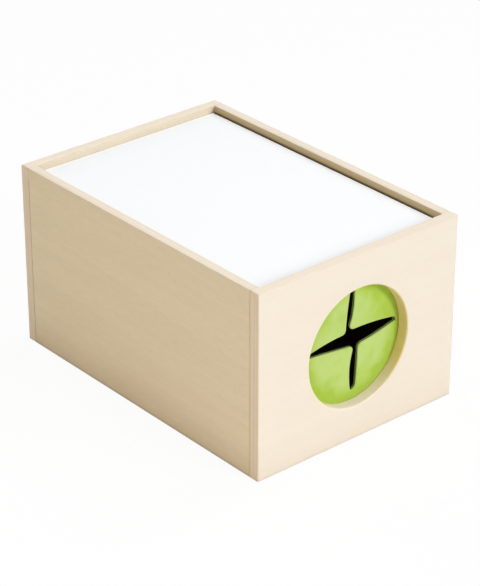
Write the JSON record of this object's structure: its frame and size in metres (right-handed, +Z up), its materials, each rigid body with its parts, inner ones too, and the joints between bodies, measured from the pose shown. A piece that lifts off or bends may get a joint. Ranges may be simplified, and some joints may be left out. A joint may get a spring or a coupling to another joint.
{
  "type": "sensory box",
  "caption": "Plywood feely box with a lift-out white lid and, at each end, a round hand hole closed by a lime stretch cover slit crosswise into flaps.",
  "frame": {"origin": "middle of the base, on the surface that the box stands on", "axes": "+Y along the box's length from the front end to the rear end, +X across its width, +Z up"},
  "size_m": [0.208, 0.3, 0.164],
  "materials": {
    "plywood": "sanded birch plywood with a thin clear coat",
    "beech": "bare planed beech",
    "laminate": "smooth white laminate",
    "neoprene": "knit-faced neoprene foam",
    "steel": "zinc-plated"
  },
  "bodies": {
    "box": {"front_panel": "plywood", "rear_panel": "plywood", "left_panel": "plywood", "right_panel": "plywood", "floor": "plywood", "left_ledge": "beech", "right_ledge": "beech", "front_clamp_ring": "plywood", "rear_clamp_ring": "plywood", "front_cover_rim": "neoprene", "rear_cover_rim": "neoprene", "front_ring_screw_1": "steel", "front_ring_screw_2": "steel", "front_ring_screw_3": "steel", "front_ring_screw_4": "steel", "rear_ring_screw_1": "steel", "rear_ring_screw_2": "steel", "rear_ring_screw_3": "steel", "rear_ring_screw_4": "steel", "dowel_front_left_1": "beech", "dowel_front_left_2": "beech", "dowel_front_left_3": "beech", "dowel_front_right_1": "beech", "dowel_front_right_2": "beech", "dowel_front_right_3": "beech", "dowel_rear_left_1": "beech", "dowel_rear_left_2": "beech", "dowel_rear_left_3": "beech", "dowel_rear_right_1": "beech", "dowel_rear_right_2": "beech", "dowel_rear_right_3": "beech"},
    "lid": {"lid": "laminate"},
    "front_flap_upper_left": {"front_flap_upper_left": "neoprene"},
    "front_flap_upper_right": {"front_flap_upper_right": "neoprene"},
    "front_flap_lower_right": {"front_flap_lower_right": "neoprene"},
    "front_flap_lower_left": {"front_flap_lower_left": "neoprene"},
    "rear_flap_upper_left": {"rear_flap_upper_left": "neoprene"},
    "rear_flap_upper_right": {"rear_flap_upper_right": "neoprene"},
    "rear_flap_lower_right": {"rear_flap_lower_right": "neoprene"},
    "rear_flap_lower_left": {"rear_flap_lower_left": "neoprene"}
  },
  "joints": [
    {"name": "lid_lift", "type": "slide", "parent": "box", "child": "lid", "axis": [0, 0, 1], "range_m": [0, 0.08]},
    {"name": "front_fold_upper_left", "type": "hinge", "parent": "box", "child": "front_flap_upper_left", "pos_m": [-0.0226, -0.1382, 0.1082], "axis": [0.7071, 0, 0.7071], "range_deg": [-60, 75], "stiffness_Nm_per_rad": 0.006},
    {"name": "front_fold_upper_right", "type": "hinge", "parent": "box", "child": "front_flap_upper_right", "pos_m": [0.0242, -0.1382, 0.1096], "axis": [0.7071, 0, -0.7071], "range_deg": [-60, 75], "stiffness_Nm_per_rad": 0.006},
    {"name": "front_fold_lower_right", "type": "hinge", "parent": "box", "child": "front_flap_lower_right", "pos_m": [0.0264, -0.1382, 0.0632], "axis": [-0.7071, 0, -0.7071], "range_deg": [-60, 75], "stiffness_Nm_per_rad": 0.006},
    {"name": "front_fold_lower_left", "type": "hinge", "parent": "box", "child": "front_flap_lower_left", "pos_m": [-0.021, -0.1382, 0.0608], "axis": [-0.7071, 0, 0.7071], "range_deg": [-60, 75], "stiffness_Nm_per_rad": 0.006},
    {"name": "rear_fold_upper_left", "type": "hinge", "parent": "box", "child": "rear_flap_upper_left", "pos_m": [0.0226, 0.1382, 0.1082], "axis": [-0.7071, 0, 0.7071], "range_deg": [-60, 75], "stiffness_Nm_per_rad": 0.006},
    {"name": "rear_fold_upper_right", "type": "hinge", "parent": "box", "child": "rear_flap_upper_right", "pos_m": [-0.0242, 0.1382, 0.1096], "axis": [-0.7071, 0, -0.7071], "range_deg": [-60, 75], "stiffness_Nm_per_rad": 0.006},
    {"name": "rear_fold_lower_right", "type": "hinge", "parent": "box", "child": "rear_flap_lower_right", "pos_m": [-0.0264, 0.1382, 0.0632], "axis": [0.7071, 0, -0.7071], "range_deg": [-60, 75], "stiffness_Nm_per_rad": 0.006},
    {"name": "rear_fold_lower_left", "type": "hinge", "parent": "box", "child": "rear_flap_lower_left", "pos_m": [0.021, 0.1382, 0.0608], "axis": [0.7071, 0, 0.7071], "range_deg": [-60, 75], "stiffness_Nm_per_rad": 0.006}
  ]
}
